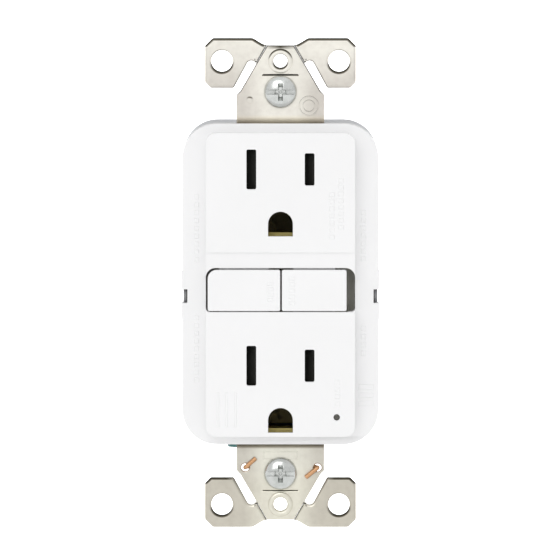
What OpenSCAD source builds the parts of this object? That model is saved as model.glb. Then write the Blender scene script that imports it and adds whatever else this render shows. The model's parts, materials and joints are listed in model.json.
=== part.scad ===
// Duplex ground-fault receptacle with test and reset buttons, for a wall box.
// Frame: X across the face, Y into the wall, Z up. The origin is on the back plane of the strap's ears,
// midway between its screw holes. The face looks towards -Y. All sizes are in millimetres.

/* [Mounting strap] */
// Distance between the two wall-plate screw holes
plate_hole_pitch = 96.8; // [96.6:0.1:97]
// Diameter of the tapped wall-plate screw holes
plate_hole_d = 3; // [2.8:0.1:3.2]
// Distance between the two box screws
box_screw_pitch = 83.34; // [83.2:0.01:83.5]
// Thickness of the strap
strap_t = 1.3; // [1.2:0.05:1.4]
// Width of the strap where it leaves the housing
tab_w = 19.1; // [18.6:0.1:19.4]
// Width across the break-off ears
ears_w = 33; // [32.8:0.1:33.4]
// Overall length of the strap
strap_h = 106.8; // [106.4:0.1:107]
// Distance across the strap between two ear holes
ear_hole_pitch = 25.5; // [25.3:0.1:25.7]
// Diameter of the ear holes
ear_hole_d = 4.65; // [4.4:0.05:4.8]

/* [Cover] */
// Width of the flange behind the wall plate
flange_w = 42.8; // [42.6:0.1:43]
// Height of the flange behind the wall plate
flange_h = 70; // [69.8:0.1:70.2]
// Corner radius of the flange
flange_r = 7.6; // [7.2:0.1:8]
// Width of the raised face
face_w = 32.5; // [32.4:0.1:32.8]
// Height of the raised face
face_h = 66.2; // [66:0.1:66.4]
// Distance of the face in front of the ears' back plane
face_y = 8; // [7.8:0.1:8.2]
// Distance of the flange in front of the ears' back plane
flange_y = 3.2; // [3.1:0.1:3.3]
// Wall thickness of the cover and the housing
wall = 1.5; // [1.4:0.05:1.6]

/* [Receptacles] */
// Height of the upper pair of blade slots
upper_z = 25; // [24.9:0.1:25.1]
// Height of the lower pair of blade slots
lower_z = -17.8; // [-17.9:0.1:-17.7]
// Distance between the two blade slots of a receptacle
blade_pitch = 12.7; // [12.6:0.05:12.8]
// Drop from the blade slots to the ground hole
ground_drop = 11.9; // [11.8:0.1:12]
// Width of a blade slot
slot_w = 2.12; // [2:0.01:2.2]
// Height of the neutral slot
neutral_slot_h = 8.7; // [8.5:0.01:8.8]
// Height of the hot slot
hot_slot_h = 7.06; // [6.9:0.01:7.2]
// Width of the ground hole
ground_hole_w = 5.4; // [5.2:0.05:5.5]

/* [Buttons] */
// Lower edge of the button window
window_z0 = -6.1; // [-6.2:0.1:-6]
// Upper edge of the button window
window_z1 = 3.5; // [3.4:0.1:3.6]
// Left edge of the test button
test_x0 = -15.85; // [-16:0.05:-15.8]
// Right edge of the test button
test_x1 = -0.05; // [-0.15:0.05:-0.05]
// Left edge of the reset button
reset_x0 = 0.3; // [0.25:0.05:0.4]
// Right edge of the reset button
reset_x1 = 14.4; // [14.3:0.05:14.5]
// Gap below a button
lower_gap = 0.2; // [0.1:0.05:0.25]
// Gap above a button
upper_gap = 0.4; // [0.3:0.05:0.45]

/* [Housing] */
// Width of the rear housing
housing_w = 42.4; // [42.2:0.1:42.6]
// Height of the rear housing
housing_h = 69.2; // [69:0.1:69.4]
// Depth of the housing behind the ears' back plane
housing_y = 29; // [28.9:0.1:29.2]

/* [Terminals] */
// Height of the terminal screws above and below the middle
terminal_z = 19.5; // [19.4:0.1:19.6]
// Depth of the terminal screws' axes
terminal_y = 17; // [16.9:0.1:17.1]
// Radius of a terminal screw's shank
terminal_screw_r = 1.95; // [1.9:0.05:2]
// Radius of a terminal screw's head
terminal_head_r = 4; // [3.8:0.1:4.1]
// Radius of a back-wire entry
wire_entry_r = 1.4; // [1.3:0.05:1.5]

/* [Hidden] */
$fn = 48;
eps = 0.1; // overrun of a cut past a face
fit = 0.1; // gap of a sliding fit

blade_x = blade_pitch / 2;
receptacles = [upper_z, lower_z];
button_z = (window_z0 + window_z1) / 2;
test_stem = [-7, button_z];
reset_stem = [4.2, button_z];
indicator = [12.25, -29.05];

strap_y0 = 0.5; // front of the strap inside the cover
strap_y1 = strap_y0 + strap_t;
jog_z = [33.4, 36.2]; // where the strap bends back to pass into the housing
skirt_y = 3; // rear edge of the cover
flange_back = -flange_y + wall;
cavity_y = -face_y + 1.8; // inner side of the face
cavity_x = face_w / 2 - wall;
face_drop = -0.2; // the face and the flange sit this far off the strap's middle
band_y = -face_y + 0.5; // face above the buttons
corner_screw = [16.8, 29.8];
corner_boss_r = 2.5;
corner_screw_r = 1;
housing_back = housing_y - 1.6; // inner side of the housing's back wall

frame_y0 = 1.9; // front of the contact frame's plate
frame_y1 = 3.5;
strip_x = 11.6; // inner side of a contact strip
strip_t = 0.8;
strip_back = 13.6;
board_y0 = 14.2;
board_y1 = 15.8;
contact_x = 10; // switch contacts
contact_z = 0.5;
pivot_z = -10.4; // root of a contact arm
plate_x = 14.2; // inner side of a terminal plate
plate_t = 1.2;
clamp_x = plate_x + plate_t + 0.2;
clamp_t = 1.6;
solenoid_y = 21.6; // depth of the solenoid's axis
sensor_z = -20; // height of the current sensor's axis
sensor_y = [17.8, 26.2];

clip_holes = [[-7.7, -40.35], [8.1, -40.4]]; // where the clip's wire passes through the strap
clip_wire_r = 0.4;
pin_top = 2.3; // upper tine above the ground hole's centre
pin_bottom = -2.25; // lower tine below the ground hole's centre
ground_base = [strap_y1 + 0.05, strap_y1 + 0.85]; // depth of a ground contact's base
rivet_x = 4.4; // rivets each side of a ground contact
rivet_hole_r = 0.8;
ground_screw_at = [-8.3, 8]; // X and Y of the ground screw's axis
ground_leg = [-33, -31.8]; // Z of the ground terminal's upright leg

bar_h = 0.1; // height of the raised bars
bar_share = 0.6; // length of a bar over its pitch
face_bars = [
    [11.2, 9.8, 20.6, 1.1, 7], [13.2, 12, 23.6, 1.1, 8], [12.4, -26.6, -20.2, 1.1, 4],
    [-13.6, -31.2, -18.6, 0.5, 1], [-11.7, -31.2, -18.6, 0.5, 1], [-9.8, -31.2, -18.6, 0.5, 1],
];
flange_bars = [
    [-18.3, -21.6, -6.4, 1, 9], [-18.3, 4.6, 20, 1, 9],
    [18.1, -15.8, -8.6, 1, 4], [18.1, 4.8, 16.6, 1, 7], [18.7, -26.8, -21.4, 3.2, 3],
];
test_bars = [[-2.2, -3.8, 0.9, 1.3, 4]];
reset_bars = [[2.5, -4.5, 2.2, 1.3, 5]];

cap_back = -2.2; // rear edge of a button cap
cap_t = 1.3;
spring_seat = -3.4; // rear end of a button's spring boss
shutter_travel = 2.9;
shutter_y = [-5.6, -3.2];
shutter_h = 9.6;
shutter_window = 2.6;
spring_x = [-4, 2]; // shutter spring at rest
latch_x = [-2, 6.8];
latch_y = [21.6, 22.4];
bobbin_z = [8.5, 23];
yoke_t = 1; // sheet of the solenoid's yoke
plunger_cap_z = 28.2;

white = [0.95, 0.95, 0.95];
housing_grey = [0.8, 0.8, 0.81];
dark_plastic = [0.12, 0.12, 0.11];
zinc = [0.84, 0.83, 0.78];
steel = [0.7, 0.71, 0.72];
brass = [0.72, 0.62, 0.3];
bronze = [0.75, 0.55, 0.36];
green = [0.25, 0.42, 0.4];

// ---- Shared shapes ----

// Extrudes an outline drawn in X and Z from depth y0 back to y1.
module deep(y0, y1) {
    translate([0, y1, 0])
        rotate([90, 0, 0])
            linear_extrude(y1 - y0)
                children();
}

// Extrudes an outline drawn in Y and Z from x0 to x1.
module across(x0, x1) {
    translate([x0, 0, 0])
        rotate([90, 0, 90])
            linear_extrude(x1 - x0)
                children();
}

// Extrudes an outline drawn in X and Y from z0 up to z1.
module upward(z0, z1) {
    translate([0, 0, z0])
        linear_extrude(z1 - z0)
            children();
}

// Block between two opposite corners.
module block(a, b) {
    translate(a)
        cube(b - a);
}

// Round bars along each axis, placed by their other two coordinates.
module rod_x(y, z, r, x0, x1) {
    translate([x0, y, z])
        rotate([0, 90, 0])
            cylinder(r = r, h = x1 - x0);
}

module rod_y(x, z, r, y0, y1) {
    translate([x, y1, z])
        rotate([90, 0, 0])
            cylinder(r = r, h = y1 - y0);
}

module rod_z(x, y, r, z0, z1) {
    translate([x, y, z0])
        cylinder(r = r, h = z1 - z0);
}

// Rounded rectangle centred on the origin.
module rounded(w, h, r) {
    square([w - 2 * r, h], center = true);
    square([w, h - 2 * r], center = true);
    for (sx = [-1, 1], sz = [-1, 1])
        translate([sx * (w / 2 - r), sz * (h / 2 - r)])
            circle(r);
}

// Rectangle between two corners, with a radius for each corner, anticlockwise from the lower left.
module framed(a, b, radii) {
    corners = [a, [b[0], a[1]], b, [a[0], b[1]]];
    inward = [[1, 1], [-1, 1], [-1, -1], [1, -1]];
    difference() {
        translate(a)
            square(b - a);
        for (i = [0:3])
            translate([corners[i][0] + inward[i][0] * radii[i], corners[i][1] + inward[i][1] * radii[i]])
                rotate(180 + 90 * i)
                    difference() {
                        square(radii[i] + eps);
                        circle(radii[i]);
                    }
    }
}

// Both sides of the middle plane.
module both_sides() {
    children();
    mirror([1, 0, 0])
        children();
}

// One side: 1 keeps what is drawn on the right (hot), -1 moves it to the left (neutral).
module on_side(side) {
    if (side > 0)
        children();
    else
        mirror([1, 0, 0])
            children();
}

// Coil of round wire along +Z from the origin.
module coil(r, wire_r, length, turns) {
    steps = 14;
    sides = 6;
    n = turns * steps;
    rise = (length - 2 * wire_r) / n;
    points = [
        for (i = [0:n], j = [0:sides - 1])
            let (
                a = 360 * i / steps,
                b = 360 * j / sides,
                radius = r + wire_r * cos(b)
            )
            [radius * cos(a), radius * sin(a), wire_r + rise * i + wire_r * sin(b)]
    ];
    skin = [
        for (i = [0:n - 1], j = [0:sides - 1])
            let (
                p = i * sides + j,
                q = i * sides + (j + 1) % sides
            )
            each [[p, q, p + sides], [q, q + sides, p + sides]]
    ];
    first = [for (j = [0:sides - 1]) sides - 1 - j];
    last = [for (j = [0:sides - 1]) n * sides + j];
    polyhedron(points, concat(skin, [first, last]));
}

// Screw head along +Z from its seat at the origin, with a slot across X and a cross recess.
module slotted_head(r, h) {
    slot = 1.1;
    depth = 1.1;
    cross = 1.15 * r;
    difference() {
        union() {
            cylinder(r = r, h = h * 0.6);
            translate([0, 0, h * 0.6])
                cylinder(r1 = r, r2 = r * 0.8, h = h * 0.4);
        }
        translate([-r - eps, -slot / 2, h - depth])
            cube([2 * r + 2 * eps, slot, depth + eps]);
        translate([-slot / 2, -cross / 2, h - depth])
            cube([slot, cross, depth + eps]);
    }
}

// ---- Strap and its fastenings ----

// One end of the strap in the plane of the ears, drawn for the upper end.
module strap_end() {
    half_tab = tab_w / 2;
    half_ears = ears_w / 2;
    end_z = strap_h / 2;
    middle_end = 51.8;
    ear_z = 42.5;
    tab = [
        [half_tab, jog_z[1] + 0.4], [half_tab, 41], [8.74, 41.8], [5.3, 47.7],
        [2.92, middle_end], [-2.92, middle_end], [-5.3, 47.7], [-8.74, 41.8],
        [-half_tab, 41], [-half_tab, jog_z[1] + 0.4],
    ];
    polygon(tab);
    both_sides_flat()
        difference() {
            union() {
                framed([9, ear_z], [half_ears, end_z], [0.4, 1.4, 1.7, 0.4]);
                polygon([
                    [2.5, 51], [5.4, 47.2], [8, 46], [10.4, ear_z + 0.2], [10.4, end_z],
                    [5.97, end_z], [3.75, 52], [2.5, middle_end],
                ]);
            }
            polygon([[9.6, 40], [8.74, 41.8], [5.3, 47.7], [7.4, 47.7], [10.1, ear_z + 0.1], [10.1, 40]]);
            translate([6.35, 47.65])
                circle(1.05);
        }
}

// Both sides of the middle line of an outline.
module both_sides_flat() {
    children();
    mirror([1, 0])
        children();
}

// The strap between the two jogs, with room for the blades, the ground pins and the buttons.
module strap_middle() {
    ring_x = 19.4;
    ring_z = [-10, 8];
    bar_x = 3.4;
    blade_zone = 6;
    pin_hole = 6.3;
    window_x = 16.8;
    window_margin = 1.3;
    difference() {
        union() {
            translate([-bar_x, -jog_z[0]])
                square([2 * bar_x, 2 * jog_z[0]]);
            translate([-ring_x, ring_z[0]])
                square([2 * ring_x, ring_z[1] - ring_z[0]]);
            translate([-tab_w / 2, upper_z + blade_zone])
                square([tab_w, jog_z[0] - upper_z - blade_zone]);
            translate([-tab_w / 2, ring_z[1] - 1])
                square([tab_w, upper_z - blade_zone - ring_z[1] + 1]);
            translate([-tab_w / 2, -jog_z[0]])
                square([tab_w, jog_z[0] + lower_z - blade_zone]);
        }
        translate([-window_x, window_z0 - window_margin])
            square([2 * window_x, window_z1 - window_z0 + 2 * window_margin]);
        for (z = receptacles) {
            translate([0, z - ground_drop])
                square(pin_hole, center = true);
            rivet_places(z - ground_drop)
                circle(rivet_hole_r);
        }
    }
}

// Two rivet positions beside a ground contact.
module rivet_places(z) {
    for (sx = [-1, 1])
        translate([sx * rivet_x, z])
            children();
}

// Bend between the ears' plane and the strap's middle, as a section in Y and Z.
module strap_jog() {
    polygon([
        [-strap_t, jog_z[1] + 0.6], [-strap_t, jog_z[1]], [strap_y0, jog_z[0]], [strap_y0, jog_z[0] - 0.3],
        [strap_y1, jog_z[0] - 0.3], [strap_y1, jog_z[0] + 0.6], [0, jog_z[1] + 0.6],
    ]);
}

module mounting_strap() {
    ring_r = 2.7;
    collar_r = 2.1;
    collar_y = 1.2;
    box_hole_r = 2.05;
    score_w = 0.35;
    clip_hole_r = 0.85;
    color(zinc)
        difference() {
            union() {
                deep(strap_y0, strap_y1)
                    strap_middle();
                for (end = [0, 1])
                    mirror([0, 0, end]) {
                        deep(-strap_t, 0)
                            strap_end();
                        across(-tab_w / 2, tab_w / 2)
                            strap_jog();
                        rod_y(0, plate_hole_pitch / 2, ring_r, -strap_t - 0.25, -strap_t + eps);
                        rod_y(0, plate_hole_pitch / 2, collar_r, -eps, collar_y);
                    }
            }
            for (end = [0, 1])
                mirror([0, 0, end]) {
                    rod_y(0, plate_hole_pitch / 2, plate_hole_d / 2, -strap_t - 1, collar_y + 1);
                    rod_y(0, box_screw_pitch / 2, box_hole_r, -strap_t - 1, 1);
                    both_sides()
                        rod_y(ear_hole_pitch / 2, plate_hole_pitch / 2, ear_hole_d / 2, -strap_t - 1, 1);
                    block([-3.8, -strap_t - 1, 45.2], [3.8, -0.4, 45.6]);
                    both_sides()
                        translate([5.3, 0, 47.9])
                            rotate([0, -120, 0])
                                block(
                                    [0, -strap_t - eps, -score_w / 2],
                                    [4.2, -strap_t + 0.35, score_w / 2]
                                );
                }
            for (hole = clip_holes)
                rod_y(hole[0], hole[1], clip_hole_r, -strap_t - 1, 1);
        }
}

// Straight run of the clip's wire between two points of the XZ plane.
module wire_run(a, b) {
    side = [a[1] - b[1], b[0] - a[0]] / norm(b - a) * clip_wire_r * 0.9;
    polygon([a + side, a - side, b - side, b + side]);
}

// Spring wire that bears on the lower box screw and is hooked through the strap.
module self_grounding_clip() {
    front = -strap_t - clip_wire_r - 0.02;
    back = clip_wire_r + 0.02;
    half = clip_wire_r * 0.9;
    bend = [0, -39.3];
    color(bronze) {
        deep(front - half, front + half) {
            wire_run([-5.4, -38.3], clip_holes[0]);
            wire_run([5.6, -42.4], clip_holes[1]);
        }
        deep(back - half, back + half) {
            wire_run(clip_holes[0], bend);
            wire_run(bend, clip_holes[1]);
        }
        for (hole = clip_holes)
            rod_y(hole[0], hole[1], clip_wire_r, front - clip_wire_r, back + clip_wire_r);
    }
}

// Captive screw that fixes one end of the strap to the wall box.
module mounting_screw(z) {
    head_y = -strap_t - 0.05;
    neck_y = 3;
    tip_y = 20.7;
    neck_r = 1.55;
    thread_r = 1.75;
    color(steel)
        translate([0, 0, z]) {
            translate([0, head_y, 0])
                rotate([90, 0, 0])
                    slotted_head(3.5, 2.05);
            rod_y(0, 0, neck_r, head_y - eps, neck_y + eps);
            rod_y(0, 0, thread_r, neck_y, tip_y);
        }
}

module upper_mounting_screw() {
    mounting_screw(box_screw_pitch / 2);
}

module lower_mounting_screw() {
    mounting_screw(-box_screw_pitch / 2);
}

// ---- Grounding parts ----

// Spring contact for the ground pin of one receptacle.
module ground_contact(z) {
    tine_y = 12;
    tine_t = 0.8;
    half_w = 2.7;
    color(brass)
        translate([0, 0, z - ground_drop]) {
            deep(ground_base[0], ground_base[1])
                difference() {
                    square([11, 6.8], center = true);
                    translate([-half_w, pin_bottom])
                        square([2 * half_w, pin_top - pin_bottom]);
                    rivet_places(0)
                        circle(rivet_hole_r);
                }
            block([-half_w, ground_base[0], pin_top], [half_w, tine_y, pin_top + tine_t]);
            block([-half_w, ground_base[0], pin_bottom - tine_t], [half_w, tine_y, pin_bottom]);
        }
}

module ground_contact_upper() {
    ground_contact(upper_z);
}

module ground_contact_lower() {
    ground_contact(lower_z);
}

// Four rivets that bond the ground contacts to the strap.
module ground_contact_rivets() {
    head_r = 1.3;
    head_t = 0.35;
    color(brass)
        for (z = receptacles, sx = [-1, 1])
            translate([sx * rivet_x, 0, z - ground_drop]) {
                rod_y(0, 0, head_r, strap_y0 - head_t, strap_y0);
                rod_y(0, 0, rivet_hole_r - 0.02, strap_y0 - eps, ground_base[1] + eps);
                rod_y(0, 0, head_r, ground_base[1], ground_base[1] + head_t);
            }
}

// Angle plate between the strap and the ground screw.
module ground_terminal() {
    x0 = ground_screw_at[0] - 4;
    hole_r = 2.14;
    color(brass)
        difference() {
            union() {
                block([x0, ground_base[0], ground_leg[0]], [-5.8, ground_base[0] + 1.1, -25.5]);
                block([x0, ground_base[1] + 0.1, ground_leg[0]], [x0 + 8, 13, ground_leg[1]]);
            }
            rod_z(ground_screw_at[0], ground_screw_at[1], hole_r, ground_leg[0] - 1, ground_leg[1] + 1);
        }
}

module ground_screw() {
    head_r = 3.9;
    thread_r = 2.08;
    seat_z = ground_leg[0] - 0.15;
    shoulder_z = seat_z - 1.3;
    head_z = -36.3;
    tip_z = -28.5;
    slot = 1.2;
    color(green)
        difference() {
            union() {
                rod_z(ground_screw_at[0], ground_screw_at[1], thread_r, seat_z - eps, tip_z);
                rod_z(ground_screw_at[0], ground_screw_at[1], head_r, shoulder_z, seat_z);
                translate([ground_screw_at[0], ground_screw_at[1], head_z])
                    cylinder(r1 = head_r * 0.82, r2 = head_r, h = shoulder_z - head_z);
            }
            translate([ground_screw_at[0] - head_r - 1, ground_screw_at[1] - slot / 2, head_z - eps])
                cube([2 * head_r + 2, slot, 1.1]);
        }
}

// ---- Cover ----

module flange_outline(inset = 0) {
    translate([0, face_drop])
        rounded(flange_w - 2 * inset, flange_h - 2 * inset, flange_r - inset);
}

module face_outline() {
    translate([0, face_drop])
        rounded(face_w, face_h, 2.2);
}

module ground_hole() {
    circle(ground_hole_w / 2);
    translate([-ground_hole_w / 2, -ground_hole_w / 2])
        square([ground_hole_w, ground_hole_w / 2]);
}

module blade_slot(h) {
    rounded(slot_w, h, 0.35);
}

// Outline of the opening for the two buttons, as wide as the face.
module button_window() {
    half = face_w / 2 + 0.02;
    framed([-half, window_z0], [half, window_z1], [0.8, 0.8, 2.1, 2.1]);
}

// Plain bars that stand for the moulded markings, each column as [x, z0, z1, width, count].
module raised_bars(columns, y) {
    for (c = columns) {
        pitch = (c[2] - c[1]) / c[4];
        for (i = [0:c[4] - 1])
            block(
                [c[0] - c[3] / 2, y - bar_h, c[1] + i * pitch],
                [c[0] + c[3] / 2, y + eps, c[1] + i * pitch + bar_share * pitch]
            );
    }
}

module cover() {
    step_z = [0, 6.9];
    boss_z = [-7.9, 2.6];
    notch_z = [-4.35, -1.35];
    notch_depth = 1.1;
    strap_gap = tab_w / 2 + 0.35;
    pocket_x = 3;
    pocket_z = -32.65;
    color(white)
        difference() {
            union() {
                deep(-flange_y, flange_back)
                    flange_outline();
                deep(flange_back - eps, skirt_y)
                    difference() {
                        flange_outline();
                        flange_outline(wall);
                    }
                deep(band_y, -flange_y + eps)
                    face_outline();
                deep(-face_y, band_y + eps)
                    difference() {
                        face_outline();
                        translate([-face_w, step_z[0]])
                            square([2 * face_w, step_z[1] - step_z[0]]);
                    }
                both_sides()
                    block(
                        [flange_w / 2 - 1, -flange_y, boss_z[0]],
                        [flange_w / 2 + 0.2, skirt_y, boss_z[1]]
                    );
                raised_bars(face_bars, -face_y);
                raised_bars(flange_bars, -flange_y);
                corner_posts(flange_back - eps, skirt_y);
            }
            deep(cavity_y, flange_back)
                translate([0, face_drop])
                    rounded(2 * cavity_x, face_h - 2 * wall, 1);
            deep(-face_y - 1, flange_back + eps)
                button_window();
            for (z = receptacles) {
                deep(-face_y - 1, cavity_y + 1)
                    translate([blade_x, z])
                        blade_slot(hot_slot_h);
                deep(-face_y - 1, cavity_y + 1)
                    translate([-blade_x, z])
                        blade_slot(neutral_slot_h);
                deep(-face_y - 1, cavity_y + 1)
                    translate([0, z - ground_drop])
                        ground_hole();
            }
            block([-pocket_x, cavity_y, pocket_z], [pocket_x, flange_back + eps, lower_z - ground_drop]);
            rod_y(indicator[0], indicator[1], 0.7, -face_y - 1, cavity_y + 1);
            block([-strap_gap, flange_back, -flange_h], [strap_gap, skirt_y + eps, flange_h]);
            both_sides()
                block(
                    [flange_w / 2 - notch_depth, -flange_y - 1, notch_z[0]],
                    [flange_w, skirt_y + 1, notch_z[1]]
                );
            corner_places()
                rod_y(0, 0, corner_screw_r + 0.03, -flange_y + 1, skirt_y + 1);
        }
}

// The four housing-screw positions.
module corner_places() {
    for (sx = [-1, 1], sz = [-1, 1])
        translate([sx * corner_screw[0], 0, sz * corner_screw[1]])
            children();
}

module corner_posts(y0, y1) {
    corner_places()
        rod_y(0, 0, corner_boss_r, y0, y1);
}

// ---- Rear housing ----

// Block round one terminal, drawn on the right about the terminal's height.
module terminal_block() {
    block([plate_x - 0.2, 10.5, -6], [housing_w / 2 - 1, housing_back + eps, 6]);
}

module terminal_pocket() {
    block([plate_x - 1, 11.5, -5], [housing_w / 2 + 1, 22.5, 5]);
    for (sz = [-1, 1])
        rod_y(16.7, sz * 3.6, wire_entry_r, 22, housing_y + 1);
}

// Each of the four terminal places.
module terminal_places() {
    for (z = [-terminal_z, terminal_z])
        translate([0, 0, z])
            both_sides()
                children();
}

module rear_housing() {
    front = skirt_y + 0.05;
    lip = 0.6;
    recess_x = 4.7;
    tongue_x = tab_w / 2 - 0.2;
    lug_x = [flange_w / 2 - 0.95, flange_w / 2 - 0.25];
    color(housing_grey)
        difference() {
            union() {
                difference() {
                    union() {
                        deep(front, housing_y - 1)
                            rounded(housing_w, housing_h, flange_r - 0.2);
                        deep(housing_y - 1 - eps, housing_y)
                            rounded(housing_w - 2 * lip, housing_h - 2 * lip, flange_r - 0.2 - lip);
                    }
                    deep(front - 1, housing_back)
                        rounded(housing_w - 2 * wall, housing_h - 2 * wall, flange_r - 0.2 - wall);
                }
                terminal_places()
                    terminal_block();
                corner_posts(frame_y1 + 0.3, housing_back + eps);
                for (sz = [-1, 1])
                    block(
                        [-tongue_x, strap_y1 + 0.3, sz * (housing_h / 2 - wall / 2) - wall / 2],
                        [tongue_x, front + eps, sz * (housing_h / 2 - wall / 2) + wall / 2]
                    );
                both_sides()
                    block([lug_x[0], -1, -4.2], [lug_x[1], front + 1, -1.5]);
            }
            terminal_places()
                terminal_pocket();
            block(
                [ground_screw_at[0] - recess_x, strap_y1, -housing_h / 2 - 1],
                [ground_screw_at[0] + recess_x, ground_screw_at[1] + recess_x, -housing_h / 2 + wall + eps]
            );
            corner_places() {
                rod_y(0, 0, corner_screw_r + 0.15, 0, housing_y + 1);
                rod_y(0, 0, 2.1, housing_y - 2.2, housing_y + 1);
            }
        }
}

// Four screws that hold the cover and the housing together.
module housing_screws() {
    head_y = housing_y - 2.2;
    color(steel)
        corner_places() {
            rod_y(0, 0, corner_screw_r, -1.6, head_y + eps);
            translate([0, head_y, 0])
                rotate([-90, 0, 0])
                    slotted_head(1.95, 1.5);
        }
}

// ---- Contact frame ----

module contact_frame() {
    guide_y = 12;
    shield_x = [12.6, 13.6];
    shield_z = [-25, 26];
    rib_x = 3.7;
    color(dark_plastic)
        difference() {
            union() {
                deep(frame_y0, frame_y1)
                    rounded(housing_w - 2 * wall - 0.6, housing_h - 2 * wall - 0.6, flange_r - wall - 0.4);
                both_sides()
                    block([shield_x[0], frame_y1 - eps, shield_z[0]], [shield_x[1], 13.8, shield_z[1]]);
                rod_y(reset_stem[0], reset_stem[1], 2.2, frame_y1 - eps, guide_y);
                for (z = receptacles)
                    both_sides()
                        block([rib_x, frame_y1 - eps, z - 5.5], [rib_x + 0.8, 11.5, z + 5.5]);
                block([-8.2, frame_y1 - eps, -10], [-5.8, 5, -8.5]);
            }
            for (z = receptacles) {
                both_sides()
                    block([blade_x - 1.7, 0, z - 5], [blade_x + 1.7, frame_y1 + eps, z + 5]);
                block([-5.9, 0, z - ground_drop - 3.8], [5.9, frame_y1 + 1, z - ground_drop + 3.8]);
            }
            for (sz = [-1, 1])
                both_sides()
                    block([12, 12.4, sz * terminal_z - 3.5], [14, 14, sz * terminal_z + 3.5]);
            block([ground_screw_at[0] - 4.4, 0, -40], [0, frame_y1 + 1, -25.2]);
            corner_places()
                rod_y(0, 0, corner_boss_r + 0.3, 0, frame_y1 + 1);
            rod_y(test_stem[0], test_stem[1], 1.6, 0, frame_y1 + 1);
            rod_y(reset_stem[0], reset_stem[1], 1.12, 0, guide_y + 1);
            rod_y(indicator[0], indicator[1], 1.1, 0, frame_y1 + 1);
        }
}

// ---- Live and neutral conductors ----

// Plate behind one terminal screw, drawn on the right about the screw's height.
module terminal_plate() {
    difference() {
        block([plate_x, 11.7, -4.5], [plate_x + plate_t, 22, 4.5]);
        rod_x(terminal_y, 0, terminal_screw_r + fit, plate_x - 1, plate_x + plate_t + 1);
    }
}

// Strip that joins the two blade clips, the load terminal and the fixed switch contact.
module contact_strip() {
    clip_gap = 1;
    leaf_t = 0.6;
    leaf_x = [blade_x - clip_gap / 2 - leaf_t, blade_x + clip_gap / 2];
    web_y = 12;
    web_h = 3;
    block([strip_x, 3.8, -22], [strip_x + strip_t, strip_back, 31]);
    for (z = receptacles) {
        for (x = leaf_x)
            block([x, 4.5, z - 4], [x + leaf_t, web_y + eps, z + 4]);
        block([leaf_x[0], web_y, z - web_h], [strip_x + eps, web_y + strip_t, z + web_h]);
    }
    block(
        [strip_x, strip_back - strip_t, terminal_z - 3],
        [plate_x + eps, strip_back, terminal_z + 3]
    );
    translate([0, 0, terminal_z])
        terminal_plate();
    block([contact_x - 1.6, strip_back - strip_t, -1.2], [strip_x + eps, strip_back, 2.2]);
    rod_y(contact_x, contact_z, 1.4, strip_back - eps, strip_back + 0.8);
}

module hot_contact_strip() {
    color(brass)
        contact_strip();
}

module neutral_contact_strip() {
    color(brass)
        mirror([1, 0, 0])
            contact_strip();
}

// Line terminal with its conductor through the current sensor to the root of the contact arm.
module line_terminal() {
    bar_z = [sensor_z - 1.2, sensor_z + 1.2];
    leg_y = [20.8, 21.6];
    back_y = [26.4, 27.2];
    front_y = [16.6, 17.4];
    leg_x = [11.2, 12];
    core_x = [0.6, 1.6];
    root_x = [8.6, 11];
    translate([0, 0, -terminal_z])
        terminal_plate();
    block([leg_x[0], leg_y[0], bar_z[0]], [plate_x + eps, leg_y[1], bar_z[1]]);
    block([leg_x[0], leg_y[0], bar_z[0]], [leg_x[1], back_y[1], bar_z[1]]);
    block([core_x[0], back_y[0], bar_z[0]], [leg_x[1], back_y[1], bar_z[1]]);
    block([core_x[0], front_y[0], bar_z[0]], [core_x[1], back_y[1], bar_z[1]]);
    block([core_x[0], front_y[0], bar_z[0]], [root_x[1], front_y[1], bar_z[1]]);
    block([root_x[0], front_y[0], bar_z[0]], [root_x[1], front_y[1], pivot_z - 0.2]);
}

module line_hot_terminal() {
    color(brass)
        line_terminal();
}

module line_neutral_terminal() {
    color(brass)
        mirror([1, 0, 0])
            line_terminal();
}

// Terminal screw, drawn on the right about its own axis.
module terminal_screw() {
    seat = clamp_x + clamp_t + 0.05;
    translate([seat, terminal_y, 0])
        rotate([90, 0, 90])
            slotted_head(terminal_head_r, 2.9);
    rod_x(terminal_y, 0, terminal_screw_r, 11.4, seat + eps);
}

// Pressure plate under a terminal screw, drawn on the right about the screw's axis.
module terminal_clamp() {
    difference() {
        block([clamp_x, 12.2, -4.5], [clamp_x + clamp_t, 21.8, 4.5]);
        rod_x(terminal_y, 0, terminal_screw_r + fit, clamp_x - 1, clamp_x + clamp_t + 1);
    }
}

module placed_screw(side, z, tint) {
    color(tint)
        translate([0, 0, z])
            on_side(side)
                terminal_screw();
}

module placed_clamp(side, z) {
    color(steel)
        translate([0, 0, z])
            on_side(side)
                terminal_clamp();
}

module load_hot_screw() {
    placed_screw(1, terminal_z, brass);
}

module load_neutral_screw() {
    placed_screw(-1, terminal_z, steel);
}

module line_hot_screw() {
    placed_screw(1, -terminal_z, brass);
}

module line_neutral_screw() {
    placed_screw(-1, -terminal_z, steel);
}

module load_hot_clamp() {
    placed_clamp(1, terminal_z);
}

module load_neutral_clamp() {
    placed_clamp(-1, terminal_z);
}

module line_hot_clamp() {
    placed_clamp(1, -terminal_z);
}

module line_neutral_clamp() {
    placed_clamp(-1, -terminal_z);
}

// ---- Buttons ----

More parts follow.
